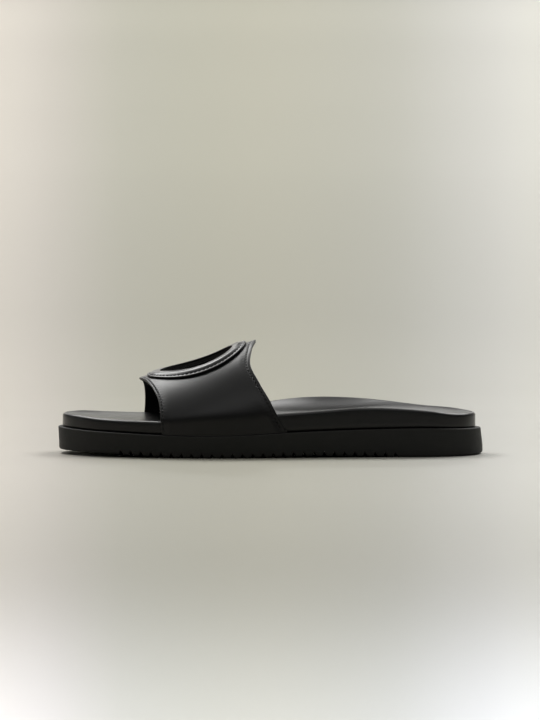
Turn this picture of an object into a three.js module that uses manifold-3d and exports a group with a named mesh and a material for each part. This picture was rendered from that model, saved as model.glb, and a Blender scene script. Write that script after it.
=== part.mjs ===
// Slide sandal for the left foot: a rubber outsole, a leather-wrapped footbed, a padded strap over the
// instep, and a ring around the strap's oval cut-out.
// Millimetres. The toe points to -X and the outer side of the foot to -Y. The floor is z = 0.
import * as THREE from "three";
import { mergeVertices } from "three/addons/utils/BufferGeometryUtils.js";
import Module from "manifold-3d";

// Sizes of the sole
const SOLE_LENGTH = 285;
const BALL_WIDTH = 104;
const EDGE_HEIGHT = 20;
const TOE_SPRING = 2.9;
const WAIST_RISE = 1.2;
const WALL_LEAN = 1.3;
const SOLE_CORNER = 1.5;
const SOLE_RIM = 0.8;

// Sizes of the notches along the lower edge of the sole
const NOTCH_COUNT = 28;
const NOTCH_PITCH = 6.74;
const NOTCH_WIDTH = 3;
const NOTCH_DEPTH = 2.3;
const NOTCH_LEAN = 1.3;
const NOTCH_START = 0.155;

// Sizes of the footbed
const LEDGE = 4;
const ARCH_HEIGHT = 36.7;
const FOOTBED_ROUND = 2.2;
const FOOTBED_HEM = 0.6;
const DISH_POWER = 3;

// Sizes of the strap
const STRAP_LENGTH = 77.6;
const STRAP_CENTRE = 0.328;
const STRAP_FRONT_HEIGHT = 49.8;
const STRAP_BACK_HEIGHT = 75.3;
const STRAP_SAG = 0.2;
const STRAP_LIP = 1.2;
const STRAP_WALL = 2;
const STRAP_PAD = 0.5;
const STITCH_INSET = 3;
const PAD_RAMP = 4;
const CREST_SHIFT = 7;
const MARGIN_WIDTH = 12;
const MARGIN_WALL = 1.4;

// Sizes of the ring and of the cut-out inside it
const RING_LENGTH = 70;
const RING_WIDTH = 54.8;
const RING_BAND = 9.4;
const RING_WALL = 1.5;
const RING_CROWN = 0.4;
const RING_SHIFT = -5.9;
const RING_TAPER = 0.36;
const TAPER_POWER = 4;
const CUTOUT_SETBACK = 0.4;

// Clearance between pieces that meet
const GAP = 0.3;

// Outline of the sole seen from above. at runs from toe to heel as a share of the sole's length, and
// medial and lateral are distances from its axis as shares of the ball width.
const OUTLINE = [
  { at: 0, medial: 0.077, lateral: -0.077 },
  { at: 0.01, medial: 0.21, lateral: 0.067 },
  { at: 0.04, medial: 0.317, lateral: 0.192 },
  { at: 0.1, medial: 0.413, lateral: 0.332 },
  { at: 0.2, medial: 0.484, lateral: 0.438 },
  { at: 0.3, medial: 0.498, lateral: 0.489 },
  { at: 0.4, medial: 0.447, lateral: 0.5 },
  { at: 0.5, medial: 0.37, lateral: 0.476 },
  { at: 0.6, medial: 0.322, lateral: 0.438 },
  { at: 0.7, medial: 0.317, lateral: 0.404 },
  { at: 0.8, medial: 0.337, lateral: 0.38 },
  { at: 0.9, medial: 0.322, lateral: 0.346 },
  { at: 0.96, medial: 0.236, lateral: 0.25 },
  { at: 0.99, medial: 0.12, lateral: 0.135 },
  { at: 1, medial: -0.005, lateral: 0.005 },
];

// Side profile of the sole: spring is a share of TOE_SPRING, waist of WAIST_RISE, edge of EDGE_HEIGHT and
// ledge of LEDGE. lean is a share of WALL_LEAN: above zero the wall's top stands in, below zero its foot.
const SOLE_PROFILE = [
  { at: 0, spring: 1, waist: 0, edge: 0.91, lean: -0.4, ledge: 0.74 },
  { at: 0.07, spring: 0.93, waist: 0, edge: 0.855, lean: -0.35, ledge: 0.88 },
  { at: 0.15, spring: 0.69, waist: 0, edge: 0.812, lean: -0.1, ledge: 0.98 },
  { at: 0.2, spring: 0.46, waist: 0, edge: 0.78, lean: 0, ledge: 1 },
  { at: 0.3, spring: 0.1, waist: 0, edge: 0.735, lean: 0, ledge: 1 },
  { at: 0.36, spring: 0, waist: 0, edge: 0.73, lean: 0, ledge: 1 },
  { at: 0.42, spring: 0, waist: 0, edge: 0.745, lean: 0, ledge: 1 },
  { at: 0.5, spring: 0, waist: 0.55, edge: 0.8, lean: 0.1, ledge: 1 },
  { at: 0.6, spring: 0, waist: 1, edge: 0.865, lean: 0.2, ledge: 1 },
  { at: 0.7, spring: 0, waist: 0.8, edge: 0.91, lean: 0.3, ledge: 1 },
  { at: 0.76, spring: 0, waist: 0.4, edge: 0.93, lean: 0.37, ledge: 1.01 },
  { at: 0.82, spring: 0, waist: 0, edge: 0.943, lean: 0.45, ledge: 1.04 },
  { at: 0.87, spring: 0, waist: 0, edge: 0.945, lean: 0.58, ledge: 1.08 },
  { at: 0.93, spring: 0, waist: 0.4, edge: 0.92, lean: 0.8, ledge: 1.15 },
  { at: 1, spring: 0, waist: 0.7, edge: 0.89, lean: 1, ledge: 1.22 },
];

// Top of the footbed: its rim on each side and the middle of its dish, as shares of ARCH_HEIGHT.
const FOOTBED_PROFILE = [
  { at: 0, lateral: 0.741, medial: 0.741, middle: 0.731 },
  { at: 0.04, lateral: 0.721, medial: 0.742, middle: 0.682 },
  { at: 0.1, lateral: 0.681, medial: 0.714, middle: 0.648 },
  { at: 0.18, lateral: 0.664, medial: 0.69, middle: 0.628 },
  { at: 0.26, lateral: 0.66, medial: 0.696, middle: 0.608 },
  { at: 0.36, lateral: 0.706, medial: 0.765, middle: 0.623 },
  { at: 0.46, lateral: 0.76, medial: 0.849, middle: 0.667 },
  { at: 0.55, lateral: 0.803, medial: 0.962, middle: 0.711 },
  { at: 0.62, lateral: 0.841, medial: 1, middle: 0.745 },
  { at: 0.7, lateral: 0.882, medial: 0.981, middle: 0.77 },
  { at: 0.78, lateral: 0.877, medial: 0.92, middle: 0.785 },
  { at: 0.87, lateral: 0.826, medial: 0.84, middle: 0.76 },
  { at: 0.94, lateral: 0.768, medial: 0.808, middle: 0.735 },
  { at: 1, lateral: 0.765, medial: 0.765, middle: 0.755 },
];

// Front and back edges of the strap. at runs round the strap from its lateral foot over the crest to its
// medial foot, and front and back are places along the sole from the strap's centre, as shares of its length.
const STRAP_EDGES = [
  { at: 0, front: -0.282, back: 0.774 },
  { at: 0.1, front: -0.291, back: 0.691 },
  { at: 0.18, front: -0.296, back: 0.633 },
  { at: 0.26, front: -0.313, back: 0.541 },
  { at: 0.34, front: -0.363, back: 0.461 },
  { at: 0.42, front: -0.43, back: 0.468 },
  { at: 0.5, front: -0.5, back: 0.5 },
  { at: 0.58, front: -0.485, back: 0.462 },
  { at: 0.66, front: -0.473, back: 0.445 },
  { at: 0.74, front: -0.47, back: 0.472 },
  { at: 0.82, front: -0.473, back: 0.523 },
  { at: 0.9, front: -0.479, back: 0.594 },
  { at: 1, front: -0.481, back: 0.658 },
];

// Each flank of the strap's section is a wall and a curve that leaves the wall upright and comes level at
// the crest. stand and reach are the lengths of its two handles, as shares of its height and its width.
const FLANKS = {
  lateral: { side: -1, stand: 0.165, reach: 0.54 },
  medial: { side: 1, stand: 0.3, reach: 0.66 },
};
const WALL_SHARE = 0.2;

// Numbers of facets
const SOLE_STATIONS = 56;
const FOOTBED_COLUMNS = 10;
const STRAP_ROUNDS = 40;
const STRAP_SPANS = 8;
const RING_STEPS = 64;
const FINE_STEPS = 240;
const FINE_TURN = 0.004;
const NUDGE = 0.001;

const wasm = await Module();
wasm.setup();

const lerp = THREE.MathUtils.lerp;
const smoothstep = THREE.MathUtils.smoothstep;

// A smooth curve through one column of a table. place turns at into the number that is read along it.
function through(rows, column, place = (at) => at) {
  const xs = rows.map((row) => place(row.at));
  const ys = rows.map((row) => row[column]);
  const last = xs.length - 1;
  const slopes = xs.map((_, i) => {
    const before = Math.max(i - 1, 0);
    const after = Math.min(i + 1, last);
    return (ys[after] - ys[before]) / (xs[after] - xs[before]);
  });
  return (at) => {
    const x = THREE.MathUtils.clamp(place(at), xs[0], xs[last]);
    const i = Math.min(xs.findLastIndex((value) => value <= x), last - 1);
    const span = xs[i + 1] - xs[i];
    const t = (x - xs[i]) / span;
    const rise = ys[i + 1] - ys[i];
    const start = slopes[i] * span;
    const end = slopes[i + 1] * span;
    return ys[i] + t * (start + t * (3 * rise - 2 * start - end + t * (start + end - 2 * rise)));
  };
}

// The angle round an ellipse as long as the sole that lies at a share of its length, so that the
// outline stays smooth where it closes at toe and heel.
const angleAt = (share) => Math.acos(1 - 2 * THREE.MathUtils.clamp(share, 0, 1));
const shareAt = (angle) => (1 - Math.cos(angle)) / 2;
const alongSole = (share) => (share - 0.5) * SOLE_LENGTH;
const shareOf = (x) => x / SOLE_LENGTH + 0.5;

const outlineMedial = through(OUTLINE, "medial", angleAt);
const outlineLateral = through(OUTLINE, "lateral", angleAt);
const soleSpring = through(SOLE_PROFILE, "spring");
const soleWaist = through(SOLE_PROFILE, "waist");
const soleEdge = through(SOLE_PROFILE, "edge");
const soleLean = through(SOLE_PROFILE, "lean");
const soleLedge = through(SOLE_PROFILE, "ledge");
const rimLateral = through(FOOTBED_PROFILE, "lateral");
const rimMedial = through(FOOTBED_PROFILE, "medial");
const dishMiddle = through(FOOTBED_PROFILE, "middle");
const strapFront = through(STRAP_EDGES, "front");
const strapBack = through(STRAP_EDGES, "back");

const soleUnder = (share) => Math.max(TOE_SPRING * soleSpring(share) + WAIST_RISE * soleWaist(share), 0);
const ledgeHeight = (share) => EDGE_HEIGHT * soleEdge(share);

// A point of the outline, pushed inwards by inset. side is -1 on the lateral edge and 1 on the medial one.
function outlinePoint(angle, side, inset) {
  const place = (a) => {
    const share = shareAt(a);
    const across = side < 0 ? -outlineLateral(share) : outlineMedial(share);
    return new THREE.Vector2(alongSole(share), across * BALL_WIDTH);
  };
  const point = place(angle);
  const tip = Math.sin(angle) < NUDGE;
  const inward = tip
    ? new THREE.Vector2(Math.cos(angle), 0)
    : place(angle + NUDGE).sub(place(angle - NUDGE)).rotateAround(new THREE.Vector2(), -side * Math.PI / 2);
  return point.addScaledVector(inward.normalize(), inset);
}

// The distance from the sole's axis to the edge at x, on the outline pushed inwards by inset.
const edgeCurves = new Map();
function edgeAcross(x, side, inset) {
  const key = side + " " + inset;
  if (!edgeCurves.has(key)) {
    const angles = Array.from({ length: FINE_STEPS + 1 }, (_, i) => (Math.PI * i) / FINE_STEPS);
    edgeCurves.set(key, angles.map((angle) => outlinePoint(angle, side, inset)));
  }
  const curve = edgeCurves.get(key);
  const i = Math.max(curve.findIndex((point) => point.x > x), 1);
  const t = (x - curve[i - 1].x) / (curve[i].x - curve[i - 1].x);
  return lerp(curve[i - 1].y, curve[i].y, t);
}

// Collects triangles and makes them one closed solid.
class Facets {
  constructor() {
    this.numbers = [];
  }
  triangle(a, b, c) {
    for (const point of [a, b, c]) this.numbers.push(point.x, point.y, point.z);
  }
  quad(a, b, c, d) {
    this.triangle(a, b, c);
    this.triangle(a, c, d);
  }
  // Joins two rows of points whose second row lies to the left of the first, seen from outside.
  strip(first, second) {
    for (let i = 0; i + 1 < first.length; i += 1) {
      this.quad(first[i], first[i + 1], second[i + 1], second[i]);
    }
  }
  geometry() {
    const made = new THREE.BufferGeometry();
    made.setAttribute("position", new THREE.Float32BufferAttribute(this.numbers, 3));
    return made;
  }
}

function solidFrom(geometry) {
  const bare = geometry.clone();
  bare.deleteAttribute("normal");
  bare.deleteAttribute("uv");
  const merged = mergeVertices(bare, 1e-4);
  const triVerts = new Uint32Array(merged.index.array);
  const vertProperties = merged.attributes.position.array;
  return new wasm.Manifold(new wasm.Mesh({ numProp: 3, vertProperties, triVerts }));
}

function geometryFrom(solid) {
  const mesh = solid.getMesh();
  const made = new THREE.BufferGeometry();
  made.setAttribute("position", new THREE.BufferAttribute(mesh.vertProperties, 3));
  made.setIndex(new THREE.BufferAttribute(mesh.triVerts, 1));
  return made;
}

const closed = (row) => [...row, row[0]];

// One level of the sole or footbed: toe tip, lateral side, heel tip, medial side. insetAt and heightAt
// are read at each share of the length, and heightAt also at each side.
function level(insetAt, heightAt) {
  const point = (i, side) => {
    const angle = (Math.PI * i) / SOLE_STATIONS;
    const share = shareAt(angle);
    const flat = outlinePoint(angle, side, insetAt(share));
    return new THREE.Vector3(flat.x, flat.y, heightAt(share, side));
  };
  const row = [point(0, -1)];
  for (let i = 1; i < SOLE_STATIONS; i += 1) row.push(point(i, -1));
  row.push(point(SOLE_STATIONS, -1));
  for (let i = SOLE_STATIONS - 1; i > 0; i -= 1) row.push(point(i, 1));
  return row;
}

// Closes a level with lines across it. dip lowers a point by its share of the length and its place
// across, from -1 on the lateral edge to 1 on the medial one.
function closeLevel(facets, row, columns, facesUp, dip = () => 0) {
  const line = (i) => {
    const a = row[i];
    const b = row[(row.length - i) % row.length];
    return Array.from({ length: columns + 1 }, (_, k) => {
      const point = a.clone().lerp(b, k / columns);
      const inside = k > 0 && k < columns;
      if (inside) point.z -= dip(i / SOLE_STATIONS, (2 * k) / columns - 1);
      return point;
    });
  };
  const lines = Array.from({ length: SOLE_STATIONS + 1 }, (_, i) => line(i));
  const face = (a, b, c) => (facesUp ? facets.triangle(a, b, c) : facets.triangle(a, c, b));
  for (let k = 0; k < columns; k += 1) {
    face(row[0], lines[1][k], lines[1][k + 1]);
    face(row[SOLE_STATIONS], lines[SOLE_STATIONS - 1][k + 1], lines[SOLE_STATIONS - 1][k]);
    for (let i = 1; i + 1 < SOLE_STATIONS; i += 1) {
      face(lines[i][k], lines[i + 1][k], lines[i + 1][k + 1]);
      face(lines[i][k], lines[i + 1][k + 1], lines[i][k + 1]);
    }
  }
}

// A rounded corner as a share of its radius: how far in it stands and how far below the top, from the
// wall to the level face.
const roundSteps = (count) =>
  Array.from({ length: count + 1 }, (_, i) => {
    const turn = (Math.PI / 2) * (i / count);
    return { inset: 1 - Math.cos(turn), below: 1 - Math.sin(turn) };
  });

function outsoleSolid() {
  const leanTop = (share) => Math.max(soleLean(share), 0) * WALL_LEAN;
  const leanFoot = (share) => Math.max(-soleLean(share), 0) * WALL_LEAN;
  const levels = [];
  for (const step of roundSteps(2).reverse()) {
    levels.push(level(
      (share) => leanFoot(share) + step.inset * SOLE_CORNER,
      (share) => soleUnder(share) + step.below * SOLE_CORNER,
    ));
  }
  for (const step of roundSteps(2)) {
    levels.push(level(
      (share) => leanTop(share) + step.inset * SOLE_RIM,
      (share) => ledgeHeight(share) - step.below * SOLE_RIM,
    ));
  }
  const facets = new Facets();
  for (let i = 0; i + 1 < levels.length; i += 1) facets.strip(closed(levels[i]), closed(levels[i + 1]));
  closeLevel(facets, levels[0], 1, false);
  closeLevel(facets, levels[levels.length - 1], 1, true);
  return cutNotches(solidFrom(facets.geometry()));
}

// The saw-tooth notches run straight across the sole, and lean forward more and more towards the heel.
function cutNotches(solid) {
  let cut = solid;
  for (let i = 0; i < NOTCH_COUNT; i += 1) {
    const x = alongSole(NOTCH_START) + i * NOTCH_PITCH;
    const foot = soleUnder(shareOf(x));
    const apex = x - NOTCH_LEAN * (i / NOTCH_COUNT);
    const shape = new THREE.Shape([
      new THREE.Vector2(x - NOTCH_WIDTH, foot - NOTCH_DEPTH),
      new THREE.Vector2(x + NOTCH_WIDTH, foot - NOTCH_DEPTH),
      new THREE.Vector2(apex, foot + NOTCH_DEPTH),
    ]);
    const bar = new THREE.ExtrudeGeometry(shape, { depth: 2 * BALL_WIDTH, bevelEnabled: false });
    bar.rotateX(Math.PI / 2).translate(0, BALL_WIDTH, 0);
    cut = cut.subtract(solidFrom(bar));
  }
  return cut;
}

const rimHeight = (share, side) => ARCH_HEIGHT * (side < 0 ? rimLateral(share) : rimMedial(share));

// How far the footbed's top dips below the line from rim to rim.
function dishDip(share, across) {
  const rims = ARCH_HEIGHT * (rimLateral(share) + rimMedial(share)) / 2;
  return (rims - ARCH_HEIGHT * dishMiddle(share)) * (1 - Math.abs(across) ** DISH_POWER);
}

function footbedSolid() {
  const facets = new Facets();
  const floorAt = (share) => ledgeHeight(share) + GAP;
  const ledgeAt = (share) => LEDGE * soleLedge(share);
  const levels = [
    level((share) => ledgeAt(share) + FOOTBED_HEM, floorAt),
    level(ledgeAt, (share) => floorAt(share) + FOOTBED_HEM),
  ];
  for (const step of roundSteps(3)) {
    levels.push(level(
      (share) => ledgeAt(share) + step.inset * FOOTBED_ROUND,
      (share, side) => rimHeight(share, side) - step.below * FOOTBED_ROUND,
    ));
  }
  for (let i = 0; i + 1 < levels.length; i += 1) facets.strip(closed(levels[i]), closed(levels[i + 1]));
  closeLevel(facets, levels[0], 1, false);
  const dip = (station, across) => dishDip(shareAt(Math.PI * station), across);
  closeLevel(facets, levels[levels.length - 1], FOOTBED_COLUMNS, true, dip);
  return cutMarginRecesses(solidFrom(facets.geometry()));
}

const strapCentre = alongSole(STRAP_CENTRE);
const frontAt = (turn) => strapCentre + STRAP_LENGTH * strapFront(turn);
const backAt = (turn) => strapCentre + STRAP_LENGTH * strapBack(turn);
const strapFloor = (x) => ledgeHeight(shareOf(x)) + GAP;
const WALL_INSET = LEDGE - GAP - STRAP_WALL;

// Where the crest's lips begin and end, as shares of the way from the strap's middle to its edges.
const LIP_START = 0.72;
const LIP_END = 1.1;

// Height of the strap's crest at x: a straight rise from front to back with a slight hollow, and a lip
// that turns up towards each edge.
function crestHeight(x) {
  const t = (x - strapCentre) / STRAP_LENGTH + 0.5;
  const lip = STRAP_LIP * smoothstep(Math.abs(2 * t - 1), LIP_START, LIP_END);
  return lerp(STRAP_FRONT_HEIGHT, STRAP_BACK_HEIGHT, t) - STRAP_SAG * 4 * t * (1 - t) + lip;
}

// A point of the strap's outer face before padding. turn runs from the lateral foot at 0 over the crest
// at 0.5 to the medial foot at 1.
function skin(x, turn) {
  const flank = turn < 0.5 ? FLANKS.lateral : FLANKS.medial;
  const up = 1 - Math.abs(2 * turn - 1);
  const wall = edgeAcross(x, flank.side, WALL_INSET);
  const floor = strapFloor(x);
  const rim = rimHeight(shareOf(x), flank.side);
  if (up < WALL_SHARE) return new THREE.Vector3(x, wall, lerp(floor, rim, up / WALL_SHARE));
  const t = (up - WALL_SHARE) / (1 - WALL_SHARE);
  const crest = crestHeight(x);
  const width = wall - CREST_SHIFT;
  const height = crest - rim;
  const curve = new THREE.CubicBezierCurve(
    new THREE.Vector2(wall, rim),
    new THREE.Vector2(wall, rim + flank.stand * height),
    new THREE.Vector2(CREST_SHIFT + flank.reach * width, crest),
    new THREE.Vector2(CREST_SHIFT, crest),
  );
  const place = curve.getPoint(t);
  return new THREE.Vector3(x, place.x, place.y);
}

function skinNormal(x, turn) {
  const along = skin(x + NUDGE, turn).sub(skin(x - NUDGE, turn));
  const before = Math.max(turn - FINE_TURN, 0);
  const after = Math.min(turn + FINE_TURN, 1);
  const round = skin(x, after).sub(skin(x, before));
  return along.cross(round).normalize();
}

// The padding swells between the stitch lines of the front and back edges.
function padAt(x, turn) {
  const inside = Math.min(x - frontAt(turn), backAt(turn) - x);
  return STRAP_PAD * smoothstep(inside, STITCH_INSET, STITCH_INSET + PAD_RAMP);
}

const faceAt = (x, turn, lift) => skin(x, turn).addScaledVector(skinNormal(x, turn), padAt(x, turn) + lift);

// The lines along which the strap is faceted between its front and back edges.
function strapStations(turn) {
  const front = frontAt(turn);
  const back = backAt(turn);
  const border = [0, STITCH_INSET, STITCH_INSET + PAD_RAMP / 2, STITCH_INSET + PAD_RAMP];
  const inner = border[border.length - 1];
  const spans = Array.from({ length: STRAP_SPANS - 1 }, (_, i) =>
    lerp(front + inner, back - inner, (i + 1) / STRAP_SPANS));
  const fromFront = border.map((inset) => front + inset);
  const fromBack = border.map((inset) => back - inset).reverse();
  return [...fromFront, ...spans, ...fromBack];
}

// The inner edge of the margin that turns in under the footbed.
function marginEdge(x, turn, reach) {
  const side = turn < 0.5 ? -1 : 1;
  const inward = skinNormal(x, turn).setZ(0).normalize().multiplyScalar(-reach);
  const flat = new THREE.Vector3(x, edgeAcross(x, side, WALL_INSET), 0).add(inward);
  return flat.setZ(strapFloor(flat.x));
}

function strapSolid() {
  const outer = [];
  const inner = [];
  const lift = new THREE.Vector3(0, 0, MARGIN_WALL);
  const margin = (turn) => strapStations(turn).map((x) => marginEdge(x, turn, STRAP_WALL + MARGIN_WIDTH));
  outer.push(margin(0));
  inner.push(margin(0).map((point) => point.add(lift)));
  for (let i = 0; i <= STRAP_ROUNDS; i += 1) {
    const turn = i / STRAP_ROUNDS;
    const foot = i === 0 || i === STRAP_ROUNDS;
    const stations = strapStations(turn);
    outer.push(stations.map((x) => (foot ? skin(x, turn) : faceAt(x, turn, 0))));
    inner.push(stations.map((x) => {
      const point = skin(x, turn).addScaledVector(skinNormal(x, turn), -STRAP_WALL);
      return foot ? point.setZ(strapFloor(point.x)).add(lift) : point;
    }));
  }
  outer.push(margin(1));
  inner.push(margin(1).map((point) => point.add(lift)));
  const facets = new Facets();
  for (let i = 0; i + 1 < outer.length; i += 1) {
    facets.strip(outer[i], outer[i + 1]);
    facets.strip(inner[i + 1], inner[i]);
    const last = outer[i].length - 1;
    facets.quad(outer[i][0], outer[i + 1][0], inner[i + 1][0], inner[i][0]);
    facets.quad(inner[i][last], inner[i + 1][last], outer[i + 1][last], outer[i][last]);
  }
  const end = outer.length - 1;
  facets.strip(inner[0], outer[0]);
  facets.strip(outer[end], inner[end]);
  return solidFrom(facets.geometry()).subtract(cutoutSolid());
}

// The turn at which the strap's face lies a distance round from the crest, at x.
function turnAt(x, round) {
  const step = Math.sign(round) * FINE_TURN;
  let turn = 0.5;
  let passed = 0;
  let here = skin(x, turn);
  while (passed < Math.abs(round)) {
    const next = skin(x, turn + step);
    const length = next.distanceTo(here);
    const share = Math.min((Math.abs(round) - passed) / length, 1);
    turn += step * share;
    passed += length;
    here = next;
  }
  return turn;
}

// A point over the strap on an oval inside the ring's outer edge by inset, at an angle, lifted off the face.
// On its lateral side the oval narrows towards the front.
function ovalPoint(angle, inset, lift) {
  const slope = Math.atan2(STRAP_BACK_HEIGHT - STRAP_FRONT_HEIGHT, STRAP_LENGTH);
  const x = strapCentre + Math.cos(angle) * (RING_LENGTH / 2 - inset) * Math.cos(slope);
  const ahead = ((1 - Math.cos(angle)) / 2) ** TAPER_POWER;
  const taper = 1 - RING_TAPER * ahead * (1 - Math.sin(angle)) / 2;
  const round = RING_SHIFT + Math.sin(angle) * (RING_WIDTH / 2 - inset) * taper;
  return faceAt(x, turnAt(x, round), lift);
}

const ovalRow = (inset, lift) =>
  Array.from({ length: RING_STEPS }, (_, i) => ovalPoint((2 * Math.PI * i) / RING_STEPS, inset, lift));

// The plug that cuts the oval out of the strap.
function cutoutSolid() {
  const inset = RING_BAND - CUTOUT_SETBACK;
  const reach = STRAP_WALL + STRAP_PAD;
  const low = ovalRow(inset, -2 * reach);
  const high = ovalRow(inset, reach);
  const middle = (row) => {
    const sum = row.reduce((total, point) => total.add(point), new THREE.Vector3());
    return sum.divideScalar(row.length);
  };
  const facets = new Facets();
  facets.strip(closed(low), closed(high));
  for (let i = 0; i < RING_STEPS; i += 1) {
    const next = (i + 1) % RING_STEPS;
    facets.triangle(middle(high), high[i], high[next]);
    facets.triangle(middle(low), low[next], low[i]);
  }
  return solidFrom(facets.geometry());
}

function ringSolid() {
  const top = [0, 0.06, 0.25, 0.5, 0.75, 0.94, 1];
  const bottom = [1, 0.66, 0.33, 0];
  const crown = (share) => RING_WALL + RING_CROWN * (1 - (2 * share - 1) ** 2);
  const shoulder = (share) => (share === 0 || share === 1 ? -RING_CROWN : 0);
  const rows = [
    ...top.map((share) => ovalRow(share * RING_BAND, GAP + crown(share) + shoulder(share))),
    ...bottom.map((share) => ovalRow(share * RING_BAND, GAP)),
  ];
  const facets = new Facets();
  rows.forEach((row, i) => facets.strip(closed(row), closed(rows[(i + 1) % rows.length])));
  return solidFrom(facets.geometry());
}

// Takes the room for the strap's turned-in margins out of the footbed's underside.
function cutMarginRecesses(solid) {
  let cut = solid;
  for (const turn of [0, 1]) {
    const outline = strapStations(turn);
    outline[0] -= GAP;
    outline[outline.length - 1] += GAP;
    const room = { out: -GAP, in: STRAP_WALL + MARGIN_WIDTH + GAP };
    const edge = (reach, rise) => outline.map((x) => {
      const point = marginEdge(x, turn, reach);
      return point.setZ(point.z + rise);
    });
    const rows = [
      edge(room.out, -GAP * 2),
      edge(room.in, -GAP * 2),
      edge(room.in, MARGIN_WALL + GAP),
      edge(room.out, MARGIN_WALL + GAP),
    ];
    if (turn === 1) rows.reverse();
    const facets = new Facets();
    rows.forEach((row, i) => facets.strip(rows[(i + 1) % rows.length], row));
    const last = outline.length - 1;
    facets.quad(rows[3][0], rows[2][0], rows[1][0], rows[0][0]);
    facets.quad(rows[0][last], rows[1][last], rows[2][last], rows[3][last]);
    cut = cut.subtract(solidFrom(facets.geometry()));
  }
  return cut;
}

const sandal = new THREE.Group();

function addPiece(name, solid, color, roughness) {
  const material = new THREE.MeshStandardMaterial({ color, roughness, metalness: 0 });
  const mesh = new THREE.Mesh(geometryFrom(solid), material);
  mesh.name = name;
  sandal.add(mesh);
}

addPiece("outsole", outsoleSolid(), 0x141513, 0.62);
addPiece("footbed", footbedSolid(), 0x161517, 0.45);
addPiece("strap", strapSolid(), 0x121212, 0.38);
addPiece("strap_ring", ringSolid(), 0x101010, 0.34);

export default sandal;
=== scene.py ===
import math

import bmesh
import bpy
import numpy as np
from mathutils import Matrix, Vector


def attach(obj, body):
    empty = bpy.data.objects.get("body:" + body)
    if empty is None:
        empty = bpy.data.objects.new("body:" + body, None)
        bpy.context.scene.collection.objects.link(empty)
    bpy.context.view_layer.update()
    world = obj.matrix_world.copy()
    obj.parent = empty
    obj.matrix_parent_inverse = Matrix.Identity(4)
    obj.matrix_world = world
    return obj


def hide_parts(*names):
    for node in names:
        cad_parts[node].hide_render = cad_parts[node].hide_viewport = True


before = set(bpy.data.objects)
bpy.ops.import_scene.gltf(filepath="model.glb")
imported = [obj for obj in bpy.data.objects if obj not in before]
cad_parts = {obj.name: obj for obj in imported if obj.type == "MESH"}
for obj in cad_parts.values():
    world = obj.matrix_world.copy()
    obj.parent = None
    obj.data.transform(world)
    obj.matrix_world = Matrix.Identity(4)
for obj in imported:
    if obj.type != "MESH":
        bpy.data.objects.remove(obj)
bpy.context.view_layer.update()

# Lengths below are millimetres, as on the maker's drawing, and are turned to metres as meshes are made.
MM = 0.001

# Sizes of the sole, the footbed, the strap and the ring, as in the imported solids
SOLE_LENGTH = 285
BALL_WIDTH = 104
EDGE_HEIGHT = 20
TOE_SPRING = 2.9
WAIST_RISE = 1.2
WALL_LEAN = 1.3
SOLE_CORNER = 1.5
SOLE_RIM = 0.8
NOTCH_COUNT = 28
NOTCH_PITCH = 6.74
NOTCH_WIDTH = 3
NOTCH_DEPTH = 2.3
NOTCH_LEAN = 1.3
NOTCH_START = 0.155
LEDGE = 4
ARCH_HEIGHT = 36.7
FOOTBED_ROUND = 2.2
FOOTBED_HEM = 0.6
DISH_POWER = 3
STRAP_LENGTH = 77.6
STRAP_CENTRE = 0.328
STRAP_FRONT_HEIGHT = 49.8
STRAP_BACK_HEIGHT = 75.3
STRAP_SAG = 0.2
STRAP_LIP = 1.2
STRAP_WALL = 2
STRAP_PAD = 0.5
FRONT_STITCH = 1.4
BACK_STITCH = 2.4
PAD_RAMP = 4.5
CREST_SHIFT = 7
MARGIN_WIDTH = 12
MARGIN_WALL = 1.4
RING_LENGTH = 70
RING_WIDTH = 54.8
RING_BAND = 9.4
RING_WALL = 1.5
RING_SHIFT = -5.9
RING_TAPER = 0.36
TAPER_POWER = 4
CUTOUT_SETBACK = 0.4
GAP = 0.3

# Sizes of what only the finished surface shows
LINING_WALL = 0.7
LAYER_SEAM = 0.08
SEAM_DIP = 0.03
SEAM_HALF = 0.55
BORDER_ROLL = 0.22
FOOTBED_EASE = 3.2
EDGE_STITCH = 2.9
RING_STITCH = 2.9
RING_STITCH_INSET = 1.9
RING_SWELL = 0.88
RING_FALL = 0.1
RING_THIN = 0.28
RING_FALL_POWER = 1.5
RING_SEAM_HALF = 0.4
RING_CORNER = 0.4
RING_FOOT = 0.1
RING_SLOTTED = 0.5
THREAD = 0.5
THREAD_SINK = 0.3
PUCKER = 0.035
PUCKER_PEAK = 0.4
PUCKER_END = 4
SLOT = 0.5
SLOT_HALF = 0.5
RING_SLOT_HALF = 0.42
STRAP_PROUD = 0.2
STRAP_CORNER = 0.4
LINING_SETBACK = 0.1
LINING_CORNER = 0.25
MARGIN_SETBACK = 0.15
MARGIN_EASE = 0.6
SKIVE_LENGTH = 0.6
SKIVE_LOW = 0.4
SKIVE_HIGH = 0.3
PLUG_DEPTH = 6
PLUG_HEIGHT = 4

# Shares of a stitch: what its thread leaves free at each end, and where its slot begins and is full
STITCH_GAP = 0.19
SLOT_START = 0.15
SLOT_FULL = 0.25

# Where the ring's ridge lies between its stitches and the hole, and how sharp it is
RIDGE_PLACE = 0.38
RIDGE_EDGE = 5

# How the bend between the strap's wall and its flank is eased: reach and spread in turns, then the steps
# and weights of the average
EASE_TURN = 0.036
EASE_SPREAD = 0.13
EASE_WEIGHTS = ((-1, 0.1), (-0.5, 0.24), (0, 0.32), (0.5, 0.24), (1, 0.1))

# Shares of the sole's length over which the footbed's rim widens behind the toe and narrows at the heel
RIM_WIDENS = (0.04, 0.2)
RIM_NARROWS = (0.62, 0.76)

# Degrees past which an edge stays sharp
RUBBER_SHARP = 32
LEATHER_SHARP = 50
ROUND_SHARP = 60
PAPER_SHARP = 80

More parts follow.
